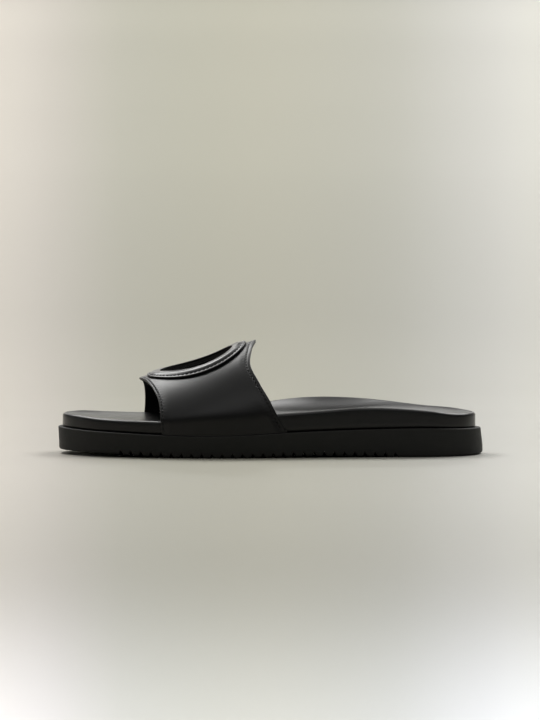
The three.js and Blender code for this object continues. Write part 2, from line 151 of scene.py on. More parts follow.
# Columns: place from toe to heel, then the medial and lateral distances as shares of the ball width.
OUTLINE = np.array([
    (0, 0.077, -0.077), (0.01, 0.21, 0.067), (0.04, 0.317, 0.192), (0.1, 0.413, 0.332),
    (0.2, 0.484, 0.438), (0.3, 0.498, 0.489), (0.4, 0.447, 0.5), (0.5, 0.37, 0.476),
    (0.6, 0.322, 0.438), (0.7, 0.317, 0.404), (0.8, 0.337, 0.38), (0.9, 0.322, 0.346),
    (0.96, 0.236, 0.25), (0.99, 0.12, 0.135), (1, -0.005, 0.005),
])

# Columns: place, toe spring, waist rise, edge height, lean of the sole's wall and ledge, as shares of
# their sizes.
SOLE_PROFILE = np.array([
    (0, 1, 0, 0.91, -0.4, 0.74), (0.07, 0.93, 0, 0.855, -0.35, 0.88), (0.15, 0.69, 0, 0.812, -0.1, 0.98),
    (0.2, 0.46, 0, 0.78, 0, 1), (0.3, 0.1, 0, 0.735, 0, 1), (0.36, 0, 0, 0.73, 0, 1),
    (0.42, 0, 0, 0.745, 0, 1), (0.5, 0, 0.55, 0.8, 0.1, 1), (0.6, 0, 1, 0.865, 0.2, 1),
    (0.7, 0, 0.8, 0.91, 0.3, 1), (0.76, 0, 0.4, 0.93, 0.37, 1.01), (0.82, 0, 0, 0.943, 0.45, 1.04),
    (0.87, 0, 0, 0.945, 0.58, 1.08), (0.93, 0, 0.4, 0.92, 0.8, 1.15), (1, 0, 0.7, 0.89, 1, 1.22),
])

# Columns: place, lateral rim, medial rim and middle of the dish, as shares of the arch height.
FOOTBED_PROFILE = np.array([
    (0, 0.741, 0.741, 0.731), (0.04, 0.721, 0.742, 0.682), (0.1, 0.681, 0.714, 0.648),
    (0.18, 0.664, 0.69, 0.628), (0.26, 0.66, 0.696, 0.608), (0.36, 0.706, 0.765, 0.623),
    (0.46, 0.76, 0.849, 0.667), (0.55, 0.803, 0.962, 0.711), (0.62, 0.841, 1, 0.745),
    (0.7, 0.882, 0.981, 0.77), (0.78, 0.877, 0.92, 0.785), (0.87, 0.826, 0.84, 0.76),
    (0.94, 0.768, 0.808, 0.735), (1, 0.765, 0.765, 0.755),
])

# Columns: turn round the strap, then its front and back edges as shares of the strap's length.
STRAP_EDGES = np.array([
    (0, -0.282, 0.774), (0.1, -0.291, 0.691), (0.18, -0.296, 0.633), (0.26, -0.313, 0.541),
    (0.34, -0.363, 0.461), (0.42, -0.43, 0.468), (0.5, -0.5, 0.5), (0.58, -0.485, 0.462),
    (0.66, -0.473, 0.445), (0.74, -0.47, 0.472), (0.82, -0.473, 0.523), (0.9, -0.479, 0.594),
    (1, -0.481, 0.658),
])

# The handles of each flank's curve: stand as a share of its height, and reach of its width.
LATERAL_FLANK = {"stand": 0.165, "reach": 0.54}
MEDIAL_FLANK = {"stand": 0.3, "reach": 0.66}
WALL_SHARE = 0.2

# Where the crest's lips begin and end, as shares of the way from the strap's middle to its edges
LIP_START = 0.72
LIP_END = 1.1

FINE = 720
NUDGE = 0.001
TURN_NUDGE = 0.004


def through(rows, column, place=lambda at: at):
    """A smooth curve through one column of a table, read at a place or an array of places."""
    xs = place(rows[:, 0])
    ys = rows[:, column]
    before = np.maximum(np.arange(len(xs)) - 1, 0)
    after = np.minimum(np.arange(len(xs)) + 1, len(xs) - 1)
    slopes = (ys[after] - ys[before]) / (xs[after] - xs[before])

    def read(at):
        x = np.clip(place(np.asarray(at, float)), xs[0], xs[-1])
        i = np.clip(np.searchsorted(xs, x, side="right") - 1, 0, len(xs) - 2)
        span = xs[i + 1] - xs[i]
        t = (x - xs[i]) / span
        rise = ys[i + 1] - ys[i]
        start = slopes[i] * span
        end = slopes[i + 1] * span
        return ys[i] + t * (start + t * (3 * rise - 2 * start - end + t * (start + end - 2 * rise)))

    return read


def angle_at(share):
    return np.arccos(1 - 2 * np.clip(share, 0, 1))


def share_at(angle):
    return (1 - np.cos(angle)) / 2


def along_sole(share):
    return (share - 0.5) * SOLE_LENGTH


def share_of(x):
    return x / SOLE_LENGTH + 0.5


def smoothstep(x, low, high):
    t = np.clip((x - low) / (high - low), 0, 1)
    return t * t * (3 - 2 * t)


outline_medial = through(OUTLINE, 1, angle_at)
outline_lateral = through(OUTLINE, 2, angle_at)
sole_spring = through(SOLE_PROFILE, 1)
sole_waist = through(SOLE_PROFILE, 2)
sole_edge = through(SOLE_PROFILE, 3)
sole_lean = through(SOLE_PROFILE, 4)
sole_ledge = through(SOLE_PROFILE, 5)
rim_lateral = through(FOOTBED_PROFILE, 1)
rim_medial = through(FOOTBED_PROFILE, 2)
dish_middle = through(FOOTBED_PROFILE, 3)
strap_front = through(STRAP_EDGES, 1)
strap_back = through(STRAP_EDGES, 2)


def sole_under(share):
    return np.maximum(TOE_SPRING * sole_spring(share) + WAIST_RISE * sole_waist(share), 0)


def ledge_height(share):
    return EDGE_HEIGHT * sole_edge(share)


def outline_point(angle, side, inset):
    """Points of the outline, pushed inwards: side is -1 on the lateral edge and 1 on the medial one."""
    def place(a):
        share = share_at(a)
        across = -outline_lateral(share) if side < 0 else outline_medial(share)
        return np.stack([along_sole(share), across * BALL_WIDTH], -1)

    angle = np.asarray(angle, float)
    way = place(angle + NUDGE) - place(angle - NUDGE)
    inward = np.stack([side * way[..., 1], -side * way[..., 0]], -1)
    tip = np.sin(angle) < NUDGE
    inward[tip] = np.stack([np.cos(angle[tip]), np.zeros(tip.sum())], -1)
    inward /= np.linalg.norm(inward, axis=-1, keepdims=True)
    return place(angle) + inward * np.asarray(inset, float)[..., None]


_edge_curves = {}


def edge_across(x, side, inset):
    """The distance from the sole's axis to the edge at x, on the outline pushed inwards."""
    if (side, inset) not in _edge_curves:
        _edge_curves[side, inset] = outline_point(np.linspace(0, math.pi, FINE), side, np.full(FINE, inset))
    curve = _edge_curves[side, inset]
    return np.interp(x, curve[:, 0], curve[:, 1])


def rim_height(share, side):
    return ARCH_HEIGHT * np.where(side < 0, rim_lateral(share), rim_medial(share))


def strap_floor(x):
    return ledge_height(share_of(x)) + GAP


strap_centre = along_sole(STRAP_CENTRE)
WALL_INSET = LEDGE - GAP - STRAP_WALL


def front_at(turn):
    return strap_centre + STRAP_LENGTH * strap_front(turn)


def back_at(turn):
    return strap_centre + STRAP_LENGTH * strap_back(turn)


def crest_height(x):
    """The crest rises from front to back, sags a little between and turns up in a lip at each edge."""
    t = (x - strap_centre) / STRAP_LENGTH + 0.5
    rise = STRAP_FRONT_HEIGHT + (STRAP_BACK_HEIGHT - STRAP_FRONT_HEIGHT) * t
    lip = STRAP_LIP * smoothstep(np.abs(2 * t - 1), LIP_START, LIP_END)
    return rise - STRAP_SAG * 4 * t * (1 - t) + lip


def skin(x, turn):
    """Points of the strap's outer face before padding, from the lateral foot at 0 to the medial one at 1.

    The bend where the wall meets the flank is eased by averaging the bare face on both sides of it.
    """
    x, turn = np.broadcast_arrays(np.asarray(x, float), np.asarray(turn, float))
    up = 1 - np.abs(2 * turn - 1)
    reach = EASE_TURN * np.exp(-(((up - WALL_SHARE) / EASE_SPREAD) ** 2))
    reach = np.minimum(reach, np.minimum(turn, 1 - turn))
    face = 0
    for share, weight in EASE_WEIGHTS:
        face = face + weight * bare_skin(x, turn + share * reach)
    return face


def bare_skin(x, turn):
    """The face as an upright wall, then a curved flank up to the crest, with a plain bend between them."""
    x, turn = np.broadcast_arrays(np.asarray(x, float), np.asarray(turn, float))
    side = np.where(turn < 0.5, -1, 1)
    stand = np.where(side < 0, LATERAL_FLANK["stand"], MEDIAL_FLANK["stand"])
    reach = np.where(side < 0, LATERAL_FLANK["reach"], MEDIAL_FLANK["reach"])
    up = 1 - np.abs(2 * turn - 1)
    wall = np.where(side < 0, edge_across(x, -1, WALL_INSET), edge_across(x, 1, WALL_INSET))
    floor = strap_floor(x)
    rim = rim_height(share_of(x), side)
    t = np.clip((up - WALL_SHARE) / (1 - WALL_SHARE), 0, 1)
    crest = crest_height(x)
    width = wall - CREST_SHIFT
    height = crest - rim
    b0, b1, b2, b3 = (1 - t) ** 3, 3 * (1 - t) ** 2 * t, 3 * (1 - t) * t ** 2, t ** 3
    y = CREST_SHIFT + width * (b0 + b1 + b2 * reach)
    z = rim + height * (b1 * stand + b2 + b3)
    low = up < WALL_SHARE
    z = np.where(low, floor + (rim - floor) * up / WALL_SHARE, z)
    return np.stack([x, y, z], -1)


def skin_normal(x, turn):
    """Outward unit normals of the face."""
    x, turn = np.broadcast_arrays(np.asarray(x, float), np.asarray(turn, float))
    along = skin(x + NUDGE, turn) - skin(x - NUDGE, turn)
    before = np.maximum(turn - TURN_NUDGE, 0)
    after = np.minimum(turn + TURN_NUDGE, 1)
    normal = np.cross(along, skin(x, after) - skin(x, before))
    return normal / np.linalg.norm(normal, axis=-1, keepdims=True)


# Lengths round the strap from its crest, on lines across it as far as the ring reaches
ARC_TURNS = np.linspace(0.04, 0.96, 461)
ARC_PLACES = strap_centre + np.linspace(-0.5, 0.5, 121) * RING_LENGTH
_arc_faces = skin(ARC_PLACES[:, None], ARC_TURNS[None, :])
_arc_steps = np.linalg.norm(np.diff(_arc_faces, axis=1), axis=-1)
_arc_lengths = np.concatenate([np.zeros((len(ARC_PLACES), 1)), np.cumsum(_arc_steps, axis=1)], axis=1)
_arc_middle = np.array([np.interp(0.5, ARC_TURNS, row) for row in _arc_lengths])
_arc_lengths -= _arc_middle[:, None]


def turn_at(x, around):
    """The turn at which the strap's face lies a distance round from the crest, at each x."""
    x, around = np.broadcast_arrays(np.asarray(x, float), np.asarray(around, float))
    place = np.interp(x, ARC_PLACES, np.arange(len(ARC_PLACES)))
    low = np.minimum(place.astype(int), len(ARC_PLACES) - 2)
    share = place - low
    found = np.empty(x.shape)
    for i in np.ndindex(x.shape):
        row = _arc_lengths[low[i]] * (1 - share[i]) + _arc_lengths[low[i] + 1] * share[i]
        found[i] = np.interp(around[i], row, ARC_TURNS)
    return found


RING_SLOPE = math.atan2(STRAP_BACK_HEIGHT - STRAP_FRONT_HEIGHT, STRAP_LENGTH)


def oval_place(angle, inset):
    """Where an oval inside the ring's outer edge runs over the strap: its x and its turn.

    On its lateral side the oval narrows towards the front.
    """
    x = strap_centre + np.cos(angle) * (RING_LENGTH / 2 - inset) * math.cos(RING_SLOPE)
    ahead = (1 - np.cos(angle)) / 2
    taper = 1 - RING_TAPER * ahead ** TAPER_POWER * (1 - np.sin(angle)) / 2
    return x, turn_at(x, RING_SHIFT + np.sin(angle) * (RING_WIDTH / 2 - inset) * taper)


def make_object(name, points, faces, material, smooth_angle=40):
    """A mesh of points in millimetres, with its vertices merged and its faces turned outwards."""
    mesh = bpy.data.meshes.new(name)
    mesh.from_pydata((np.asarray(points) * MM).tolist(), [], [list(map(int, face)) for face in faces])
    work = bmesh.new()
    work.from_mesh(mesh)
    bmesh.ops.remove_doubles(work, verts=work.verts, dist=1e-6)
    bmesh.ops.recalc_face_normals(work, faces=work.faces)
    work.to_mesh(mesh)
    work.free()
    mesh.materials.append(material)
    mesh.shade_smooth()
    mesh.set_sharp_from_angle(angle=math.radians(smooth_angle))
    made = bpy.data.objects.new(name, mesh)
    bpy.context.scene.collection.objects.link(made)
    return made


class Sheets:
    """Collects grids of points and joins them in one mesh."""

    def __init__(self):
        self.points = []
        self.faces = []
        self.count = 0

    def grid(self, rows, wrap=False, flip=False):
        rows = np.asarray(rows)
        height, width = rows.shape[:2]
        self.points.append(rows.reshape(-1, 3))
        columns = width if wrap else width - 1
        i, j = np.meshgrid(np.arange(height - 1), np.arange(columns), indexing="ij")
        a = self.count + i * width + j
        b = self.count + i * width + (j + 1) % width
        quads = np.stack([a, b, b + width, a + width], -1).reshape(-1, 4)
        self.faces.extend((quads[:, ::-1] if flip else quads).tolist())
        self.count += height * width

    def make(self, name, material, smooth_angle=40):
        return make_object(name, np.concatenate(self.points), self.faces, material, smooth_angle)


def finish_piece(piece, slot, *nodes):
    """Attaches a piece to the root body and hides the solids that it takes the place of. The slot argument
    is not used.
    """
    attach(piece, "root")
    if nodes:
        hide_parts(*nodes)
    return piece


# Materials

def node_material(name):
    """A new material, its node tree and its shader."""
    material = bpy.data.materials.new(name)
    material.use_nodes = True
    tree = material.node_tree
    shader = tree.nodes["Principled BSDF"]
    return material, tree, shader


def link_noise(tree, scale, detail, roughness=0.5, kind="ShaderNodeTexNoise"):
    """A noise in the piece's own coordinates."""
    coordinates = tree.nodes.new("ShaderNodeTexCoord")
    texture = tree.nodes.new(kind)
    texture.inputs["Scale"].default_value = scale
    if "Detail" in texture.inputs:
        texture.inputs["Detail"].default_value = detail
    if "Roughness" in texture.inputs:
        texture.inputs["Roughness"].default_value = roughness
    tree.links.new(coordinates.outputs["Object"], texture.inputs["Vector"])
    return texture


def ramp_between(tree, source, low, high):
    """A value that goes from low to high as the source goes from 0 to 1."""
    ramp = tree.nodes.new("ShaderNodeMapRange")
    ramp.inputs["To Min"].default_value = low
    ramp.inputs["To Max"].default_value = high
    tree.links.new(source, ramp.inputs["Value"])
    return ramp.outputs["Result"]


def tint_between(tree, source, low, high):
    """A colour that goes from low to high as the source goes from 0 to 1."""
    mix = tree.nodes.new("ShaderNodeMix")
    mix.data_type = "RGBA"
    mix.inputs["A"].default_value = (*low, 1)
    mix.inputs["B"].default_value = (*high, 1)
    tree.links.new(source, mix.inputs["Factor"])
    return mix.outputs["Result"]


def add_bump(tree, shader, source, strength, distance, under=None):
    """Lays one more bump on the shader, over the one given as under."""
    bump = tree.nodes.new("ShaderNodeBump")
    bump.inputs["Strength"].default_value = strength
    bump.inputs["Distance"].default_value = distance
    tree.links.new(source, bump.inputs["Height"])
    if under is not None:
        tree.links.new(under, bump.inputs["Normal"])
    tree.links.new(bump.outputs["Normal"], shader.inputs["Normal"])
    return bump.outputs["Normal"]


def leather(name, dark, light, rough, grain, depth, coat=0.0):
    """Black dyed leather: uneven dye, uneven polish, a fine pebbled grain and soft handling waves."""
    material, tree, shader = node_material(name)
    cloud = link_noise(tree, scale=55, detail=4)
    tree.links.new(tint_between(tree, cloud.outputs["Fac"], dark, light), shader.inputs["Base Color"])
    polish = link_noise(tree, scale=130, detail=5, roughness=0.6)
    tree.links.new(ramp_between(tree, polish.outputs["Fac"], *rough), shader.inputs["Roughness"])
    pebble = link_noise(tree, scale=grain, detail=0, kind="ShaderNodeTexVoronoi")
    pebble.feature = "SMOOTH_F1"
    low = add_bump(tree, shader, pebble.outputs["Distance"], strength=depth, distance=0.0002)
    hair = link_noise(tree, scale=grain * 2.2, detail=3, roughness=0.7)
    fine = add_bump(tree, shader, hair.outputs["Fac"], strength=depth * 0.6, distance=0.0001, under=low)
    wave = link_noise(tree, scale=24, detail=2)
    add_bump(tree, shader, wave.outputs["Fac"], strength=0.1, distance=0.0009, under=fine)
    shader.inputs["Specular IOR Level"].default_value = 0.38
    shader.inputs["Coat Weight"].default_value = coat
    shader.inputs["Coat Roughness"].default_value = 0.12
    return material


def rubber(name):
    """Moulded black rubber with a fine matt grain."""
    material, tree, shader = node_material(name)
    cloud = link_noise(tree, scale=40, detail=5)
    tint = tint_between(
        tree, cloud.outputs["Fac"], low=(0.0105, 0.0108, 0.0098), high=(0.016, 0.0163, 0.015),
    )
    tree.links.new(tint, shader.inputs["Base Color"])
    polish = link_noise(tree, scale=300, detail=4, roughness=0.6)
    rough = ramp_between(tree, polish.outputs["Fac"], low=0.5, high=0.68)
    tree.links.new(rough, shader.inputs["Roughness"])
    speck = link_noise(tree, scale=2600, detail=3, roughness=0.7)
    low = add_bump(tree, shader, speck.outputs["Fac"], strength=0.16, distance=0.0002)
    wave = link_noise(tree, scale=18, detail=2)
    add_bump(tree, shader, wave.outputs["Fac"], strength=0.08, distance=0.0008, under=low)
    shader.inputs["Specular IOR Level"].default_value = 0.28
    return material


def thread_material(name):
    """Waxed black thread with a fine twist."""
    material, tree, shader = node_material(name)
    twist = link_noise(tree, scale=3000, detail=2)
    tint = tint_between(
        tree, twist.outputs["Fac"], low=(0.003, 0.003, 0.003), high=(0.008, 0.008, 0.008),
    )
    tree.links.new(tint, shader.inputs["Base Color"])
    add_bump(tree, shader, twist.outputs["Fac"], strength=0.5, distance=0.0002)
    shader.inputs["Roughness"].default_value = 0.65
    shader.inputs["Specular IOR Level"].default_value = 0.2
    return material


def paint_material(name):
    """Black edge paint: thick, even and half matt, a little lumpy."""
    material, tree, shader = node_material(name)
    lump = link_noise(tree, scale=900, detail=3)
    tint = tint_between(
        tree, lump.outputs["Fac"], low=(0.003, 0.003, 0.003), high=(0.0055, 0.0055, 0.0055),
    )
    tree.links.new(tint, shader.inputs["Base Color"])
    add_bump(tree, shader, lump.outputs["Fac"], strength=0.25, distance=0.0003)
    shader.inputs["Roughness"].default_value = 0.5
    shader.inputs["Specular IOR Level"].default_value = 0.3
    return material


# Sole

SOLE_STATIONS = 221
SOLE_CORNER_STEPS = 4
UNDERSIDE_COLUMNS = 24
TOP_COLUMNS = 12

# Heights of the wall's lines over the rounded corner: two that follow the notches, and a level one above
NOTCHED_LINES = (0.15, 0.7)
LEVEL_LINE = 1.2


def level(angles, inset, height_lateral, height_medial):
    """One level of the sole or footbed as two lines, lateral and medial, from toe to heel."""
    lateral = outline_point(angles, -1, inset)
    medial = outline_point(angles, 1, inset)
    return np.stack([
        np.concatenate([lateral, height_lateral[:, None]], -1),
        np.concatenate([medial, height_medial[:, None]], -1),
    ])


def close_level(sheets, pair, columns, dip=None):
    """Fills a level with lines across it. dip gives how far each point sinks."""
    across = np.linspace(0, 1, columns + 1)
    grid = pair[0][:, None, :] * (1 - across)[None, :, None] + pair[1][:, None, :] * across[None, :, None]
    if dip is not None:
        grid[..., 2] -= dip(across * 2 - 1)
    sheets.grid(grid)


def round_steps(count):
    """Steps round a quarter circle: how far in and how far below its top each one lies, as shares."""
    turn = np.linspace(0, math.pi / 2, count + 1)
    return list(zip(1 - np.cos(turn), 1 - np.sin(turn)))


def notch_table():
    """The foot, apex and far foot of each notch along the sole."""
    index = np.arange(NOTCH_COUNT)
    x = along_sole(NOTCH_START) + index * NOTCH_PITCH
    apex = x - NOTCH_LEAN * index / NOTCH_COUNT
    half = NOTCH_WIDTH / 2
    start = (x - 2 * half + apex) / 2
    end = (x + 2 * half + apex) / 2
    return start, apex, end


def notch_height(x):
    start, apex, end = notch_table()
    rise = np.zeros_like(x)
    for a, b, c in zip(start, apex, end):
        rise = np.maximum(rise, np.interp(x, [a, b, c], [0, NOTCH_DEPTH, 0], left=0, right=0))
    return rise


def make_outsole(material):
    plain = np.linspace(0, math.pi, SOLE_STATIONS)
    marks = np.concatenate(notch_table())
    angles = np.unique(np.round(np.concatenate([plain, angle_at(share_of(marks))]), 6))
    angles[0], angles[-1] = 0, math.pi
    share = share_at(angles)
    foot = sole_under(share) + notch_height(along_sole(share))
    lean = sole_lean(share)
    lean_top = np.maximum(lean, 0) * WALL_LEAN
    lean_foot = np.maximum(-lean, 0) * WALL_LEAN
    top = ledge_height(share)
    levels = []
    for inset, below in reversed(round_steps(SOLE_CORNER_STEPS)):
        height = foot + below * SOLE_CORNER
        levels.append(level(angles, lean_foot + inset * SOLE_CORNER, height, height))
    for clear in NOTCHED_LINES:
        height = foot + SOLE_CORNER + clear
        levels.append(level(angles, lean_foot, height, height))
    height = sole_under(share) + NOTCH_DEPTH + SOLE_CORNER + LEVEL_LINE
    levels.append(level(angles, lean_foot, height, height))
    for inset, below in round_steps(SOLE_CORNER_STEPS):
        height = top - below * SOLE_RIM
        levels.append(level(angles, lean_top + inset * SOLE_RIM, height, height))
    sheets = Sheets()
    stack = np.stack(levels)
    sheets.grid(stack[:, 0])
    sheets.grid(stack[:, 1])
    close_level(sheets, levels[0], UNDERSIDE_COLUMNS)
    close_level(sheets, levels[-1], TOP_COLUMNS)
    return finish_piece(sheets.make("outsole_rubber", material, RUBBER_SHARP), "sole_rubber", "outsole")


# Footbed

FOOTBED_STATIONS = 261
RIM_STEPS = 9
DISH_COLUMNS = 64
BASE_COLUMNS = 8
HEM_SHARE = 0.3
WALL_LINES = (0.35, 0.7)


def margin_room(x, side):
    """Where the strap's turned-in margin needs room under the footbed."""
    turn = 0 if side < 0 else 1
    inside = np.minimum(x - front_at(turn), back_at(turn) - x)
    return (MARGIN_WALL + GAP) * smoothstep(inside, -GAP - MARGIN_EASE, -GAP)


def make_footbed(material):
    angles = np.linspace(0, math.pi, FOOTBED_STATIONS)
    share = share_at(angles)
    x = along_sole(share)
    floor = ledge_height(share) + GAP
    base = [floor + margin_room(x, side) for side in (-1, 1)]
    inner = np.full(len(angles), LEDGE + MARGIN_WIDTH + GAP)
    ledge = LEDGE * sole_ledge(share)
    levels = [level(angles, inner + GAP, floor, floor), level(angles, inner, *base)]
    hem = FOOTBED_HEM * HEM_SHARE
    for inset, rise in ((FOOTBED_HEM, 0), (hem, hem), (0, FOOTBED_HEM)):
        levels.append(level(angles, ledge + inset, base[0] + rise, base[1] + rise))
    rims = [rim_height(share, np.full(len(angles), side)) for side in (-1, 1)]
    for part in WALL_LINES:
        heights = [low + (rim - FOOTBED_ROUND - low) * part for low, rim in zip(base, rims)]
        levels.append(level(angles, ledge, *heights))
    ease = smoothstep(share, *RIM_WIDENS) * (1 - smoothstep(share, *RIM_NARROWS))
    reach = FOOTBED_ROUND + (FOOTBED_EASE - FOOTBED_ROUND) * ease
    for inset, below in round_steps(RIM_STEPS):
        levels.append(level(
            angles, ledge + inset * reach,
            rims[0] - below * FOOTBED_ROUND, rims[1] - below * FOOTBED_ROUND,
        ))
    sheets = Sheets()
    stack = np.stack(levels)
    sheets.grid(stack[:, 0])
    sheets.grid(stack[:, 1])
    close_level(sheets, levels[0], BASE_COLUMNS)

    def dip(across):
        """How far the dish lies under the line from rim to rim."""
        depth = ARCH_HEIGHT * ((rim_lateral(share) + rim_medial(share)) / 2 - dish_middle(share))
        return depth[:, None] * (1 - np.abs(across)[None, :] ** DISH_POWER)

    close_level(sheets, levels[-1], DISH_COLUMNS, dip)
    return finish_piece(sheets.make("footbed_wrap", material, LEATHER_SHARP), "footbed_leather", "footbed")


# Strap

STRAP_ROWS = 481
LINING_ROWS = 181
MARGIN_LINES = 90
PLUG_POINTS = 240

# How near the feet of the strap its stitches and its even rows begin, in turns
STITCH_END = 0.012
ROW_END = 0.004

# Distances of the faces' lines from the front and back edges, closest at the rounded corner
BORDER_LINES = np.concatenate([
    [0, 0.06, 0.15, 0.27, 0.42], np.linspace(0.6, 3.4, 19), np.linspace(3.8, 9, 9),
])
MIDDLE_LINES = np.linspace(0, 1, 40)[1:-1]


def stitch_turns(inset_front, inset_back):
    """The turns of the stitches along the front and the back edge, an even stitch length apart."""
    found = {}
    fine = np.linspace(STITCH_END, 1 - STITCH_END, FINE)
    for name, x in (("front", front_at(fine) + inset_front), ("back", back_at(fine) - inset_back)):
        line = skin(x, fine)
        lengths = np.concatenate([[0], np.cumsum(np.linalg.norm(np.diff(line, axis=0), axis=1))])
        count = int(lengths[-1] // EDGE_STITCH)
        found[name] = np.interp((np.arange(count) + 0.5) * EDGE_STITCH, lengths, fine)
    return found


EDGE_TURNS = stitch_turns(FRONT_STITCH, BACK_STITCH)

# Soft creases of the strap: turn, place from front to back, length along the turn, width in
# millimetres and height in millimetres, below zero for a trough.
CREASES = np.array([
    (0.2, 0.93, 0.09, 7, 0.35),
    (0.27, 0.86, 0.06, 6, -0.25),
    (0.14, 0.4, 0.07, 14, 0.2),
    (0.24, 0.2, 0.08, 9, -0.15),
    (0.8, 0.9, 0.08, 7, 0.3),
    (0.76, 0.3, 0.08, 10, -0.2),
])


def seam_phase(turn, turns):
    """Where a turn or angle lies between stitch holes: 0 at a hole and 0.5 at the middle of a stitch."""
    index = np.interp(turn, turns, np.arange(len(turns)))
    return index % 1


def stitch_slot(phase):
    """The slot that a stitch lies in: 1 along its middle and 0 on the leather between two stitches."""
    return smoothstep(np.minimum(phase, 1 - phase), SLOT_START, SLOT_FULL)


def border_roll(x, turn):
    """How the borders outside the stitches bend down towards their edges."""
    front = np.clip(1 - (x - front_at(turn)) / FRONT_STITCH, 0, 1)
    back = np.clip(1 - (back_at(turn) - x) / BACK_STITCH, 0, 1)
    return -BORDER_ROLL * np.maximum(front, back) ** 2


def padding(x, turn):
    """How far the padded field stands up inside the stitches."""
    front = smoothstep(x - front_at(turn), FRONT_STITCH, FRONT_STITCH + PAD_RAMP)
    back = smoothstep(back_at(turn) - x, BACK_STITCH, BACK_STITCH + PAD_RAMP)
    return STRAP_PAD * np.minimum(front, back)


def strap_relief(x, turn):
    """How far the finished outer face stands above the bare skin."""
    front = x - front_at(turn)
    back = back_at(turn) - x
    relief = padding(x, turn) + border_roll(x, turn)
    for distance, inset, turns in (
        (front, FRONT_STITCH, EDGE_TURNS["front"]),
        (back, BACK_STITCH, EDGE_TURNS["back"]),
    ):
        relief = relief - SEAM_DIP * np.exp(-(((distance - inset) / SEAM_HALF) ** 2))
        phase = seam_phase(turn, turns)
        near = np.exp(-(((distance - inset) / SLOT_HALF) ** 2))
        relief = relief - SLOT * near * stitch_slot(phase)
        rise = smoothstep(distance, 0.3 * inset, inset)
        fall = 1 - smoothstep(distance, inset + PUCKER_PEAK, inset + PUCKER_END)
        relief = relief - PUCKER * (rise * fall) * np.cos(2 * math.pi * phase)
    length = back_at(turn) - front_at(turn)
    for at_turn, at, long, wide, high in CREASES:
        off_turn = (turn - at_turn) / long
        off_along = (front / length - at) * length / wide
        relief = relief + high * np.exp(-(off_turn ** 2) - off_along ** 2)
    return relief


def band(count, low_lift, high_lift, setback, corner, relief_low, relief_high):
    """A strip of the strap between two lifts off its skin, with rounded front and back edges."""
    turns = np.concatenate([[0], np.linspace(ROW_END, 1 - ROW_END, count), [1]])
    inner = BORDER_LINES[-1]
    rows = []
    for turn in turns:
        front = front_at(turn) + setback
        back = back_at(turn) - setback
        between = front + inner + (back - front - 2 * inner) * MIDDLE_LINES
        x = np.concatenate([front + BORDER_LINES, between, (back - BORDER_LINES)[::-1]])
        side_in = np.minimum(x - front, back - x)
        round_off = corner - np.sqrt(np.maximum(corner ** 2 - np.maximum(corner - side_in, 0) ** 2, 0))
        base = skin(x, np.full_like(x, turn))
        normal = skin_normal(x, np.full_like(x, turn))
        up = high_lift + relief_high(x, turn) - round_off
        down = low_lift + relief_low(x, turn) + round_off
        rows.append((base + normal * up[:, None], base + normal * down[:, None]))
    outer = np.stack([row[0] for row in rows])
    inner_face = np.stack([row[1] for row in rows])
    return outer, inner_face


def make_band(name, outer, inner, material, paint):
    """A closed strip from its two faces, with its cut edges painted."""
    sheets = Sheets()
    sheets.grid(outer)
    sheets.grid(inner, flip=True)
    faced = len(sheets.faces)
    for column in (0, -1):
        edge = np.stack([outer[:, column], inner[:, column]], 1)
        sheets.grid(edge, flip=column == 0)
    for row in (0, -1):
        end = np.stack([outer[row], inner[row]], 0)
        sheets.grid(end, flip=row == 0)
    made = sheets.make(name, material, LEATHER_SHARP)
    made.data.materials.append(paint)
    slots = (np.arange(len(made.data.polygons)) >= faced).astype(np.int32)
    made.data.polygons.foreach_set("material_index", slots)
    return made


def cut_oval(piece, inset):
    """Cuts the oval out of a strip with a plug that follows the strap."""
    angle = np.linspace(0, 2 * math.pi, PLUG_POINTS + 1)[:-1]
    x, turn = oval_place(angle, inset)
    base = skin(x, turn)
    normal = skin_normal(x, turn)
    low = base - normal * PLUG_DEPTH
    high = base + normal * PLUG_HEIGHT
    sheets = Sheets()
    sheets.grid(np.stack([low, high]), wrap=True)
    for row in (low, high):
        middle = np.broadcast_to(row.mean(0), row.shape)
        sheets.grid(np.stack([row, row * 0.5 + middle * 0.5, middle]), wrap=True)
    plug = sheets.make(piece.name + "_plug", piece.data.materials[0])
    plug.data.materials.append(piece.data.materials[1])
    plug.data.polygons.foreach_set("material_index", np.ones(len(plug.data.polygons), np.int32))
    cut = piece.modifiers.new("cut", "BOOLEAN")
    cut.operation = "DIFFERENCE"
    cut.solver = "EXACT"
    cut.object = plug
    bpy.context.view_layer.update()
    graph = bpy.context.evaluated_depsgraph_get()
    mesh = bpy.data.meshes.new_from_object(piece.evaluated_get(graph))
    piece.modifiers.clear()
    piece.data = mesh
    mesh.shade_smooth()
    mesh.set_sharp_from_angle(angle=math.radians(LEATHER_SHARP))
    bpy.data.objects.remove(plug)


def make_strap(leather_material, lining_material, paint):
    """The strap's padded leather and its lining, each a strip of its own with the oval cut out."""
    split = -(STRAP_WALL - LINING_WALL)
    outer, under = band(STRAP_ROWS, split, 0, -STRAP_PROUD, STRAP_CORNER, border_roll, strap_relief)
    strap = make_band("strap_leather", outer, under, leather_material, paint)
    cut_oval(strap, RING_BAND - CUTOUT_SETBACK)
    finish_piece(strap, "strap_leather", "strap")
    outer, under = band(
        LINING_ROWS, -STRAP_WALL, split - LAYER_SEAM, LINING_SETBACK, LINING_CORNER,
        border_roll, border_roll,
    )
    lining = make_band("strap_lining", outer, under, lining_material, paint)
    cut_oval(lining, RING_BAND - CUTOUT_SETBACK - LINING_SETBACK)
    finish_piece(lining, "strap_leather")


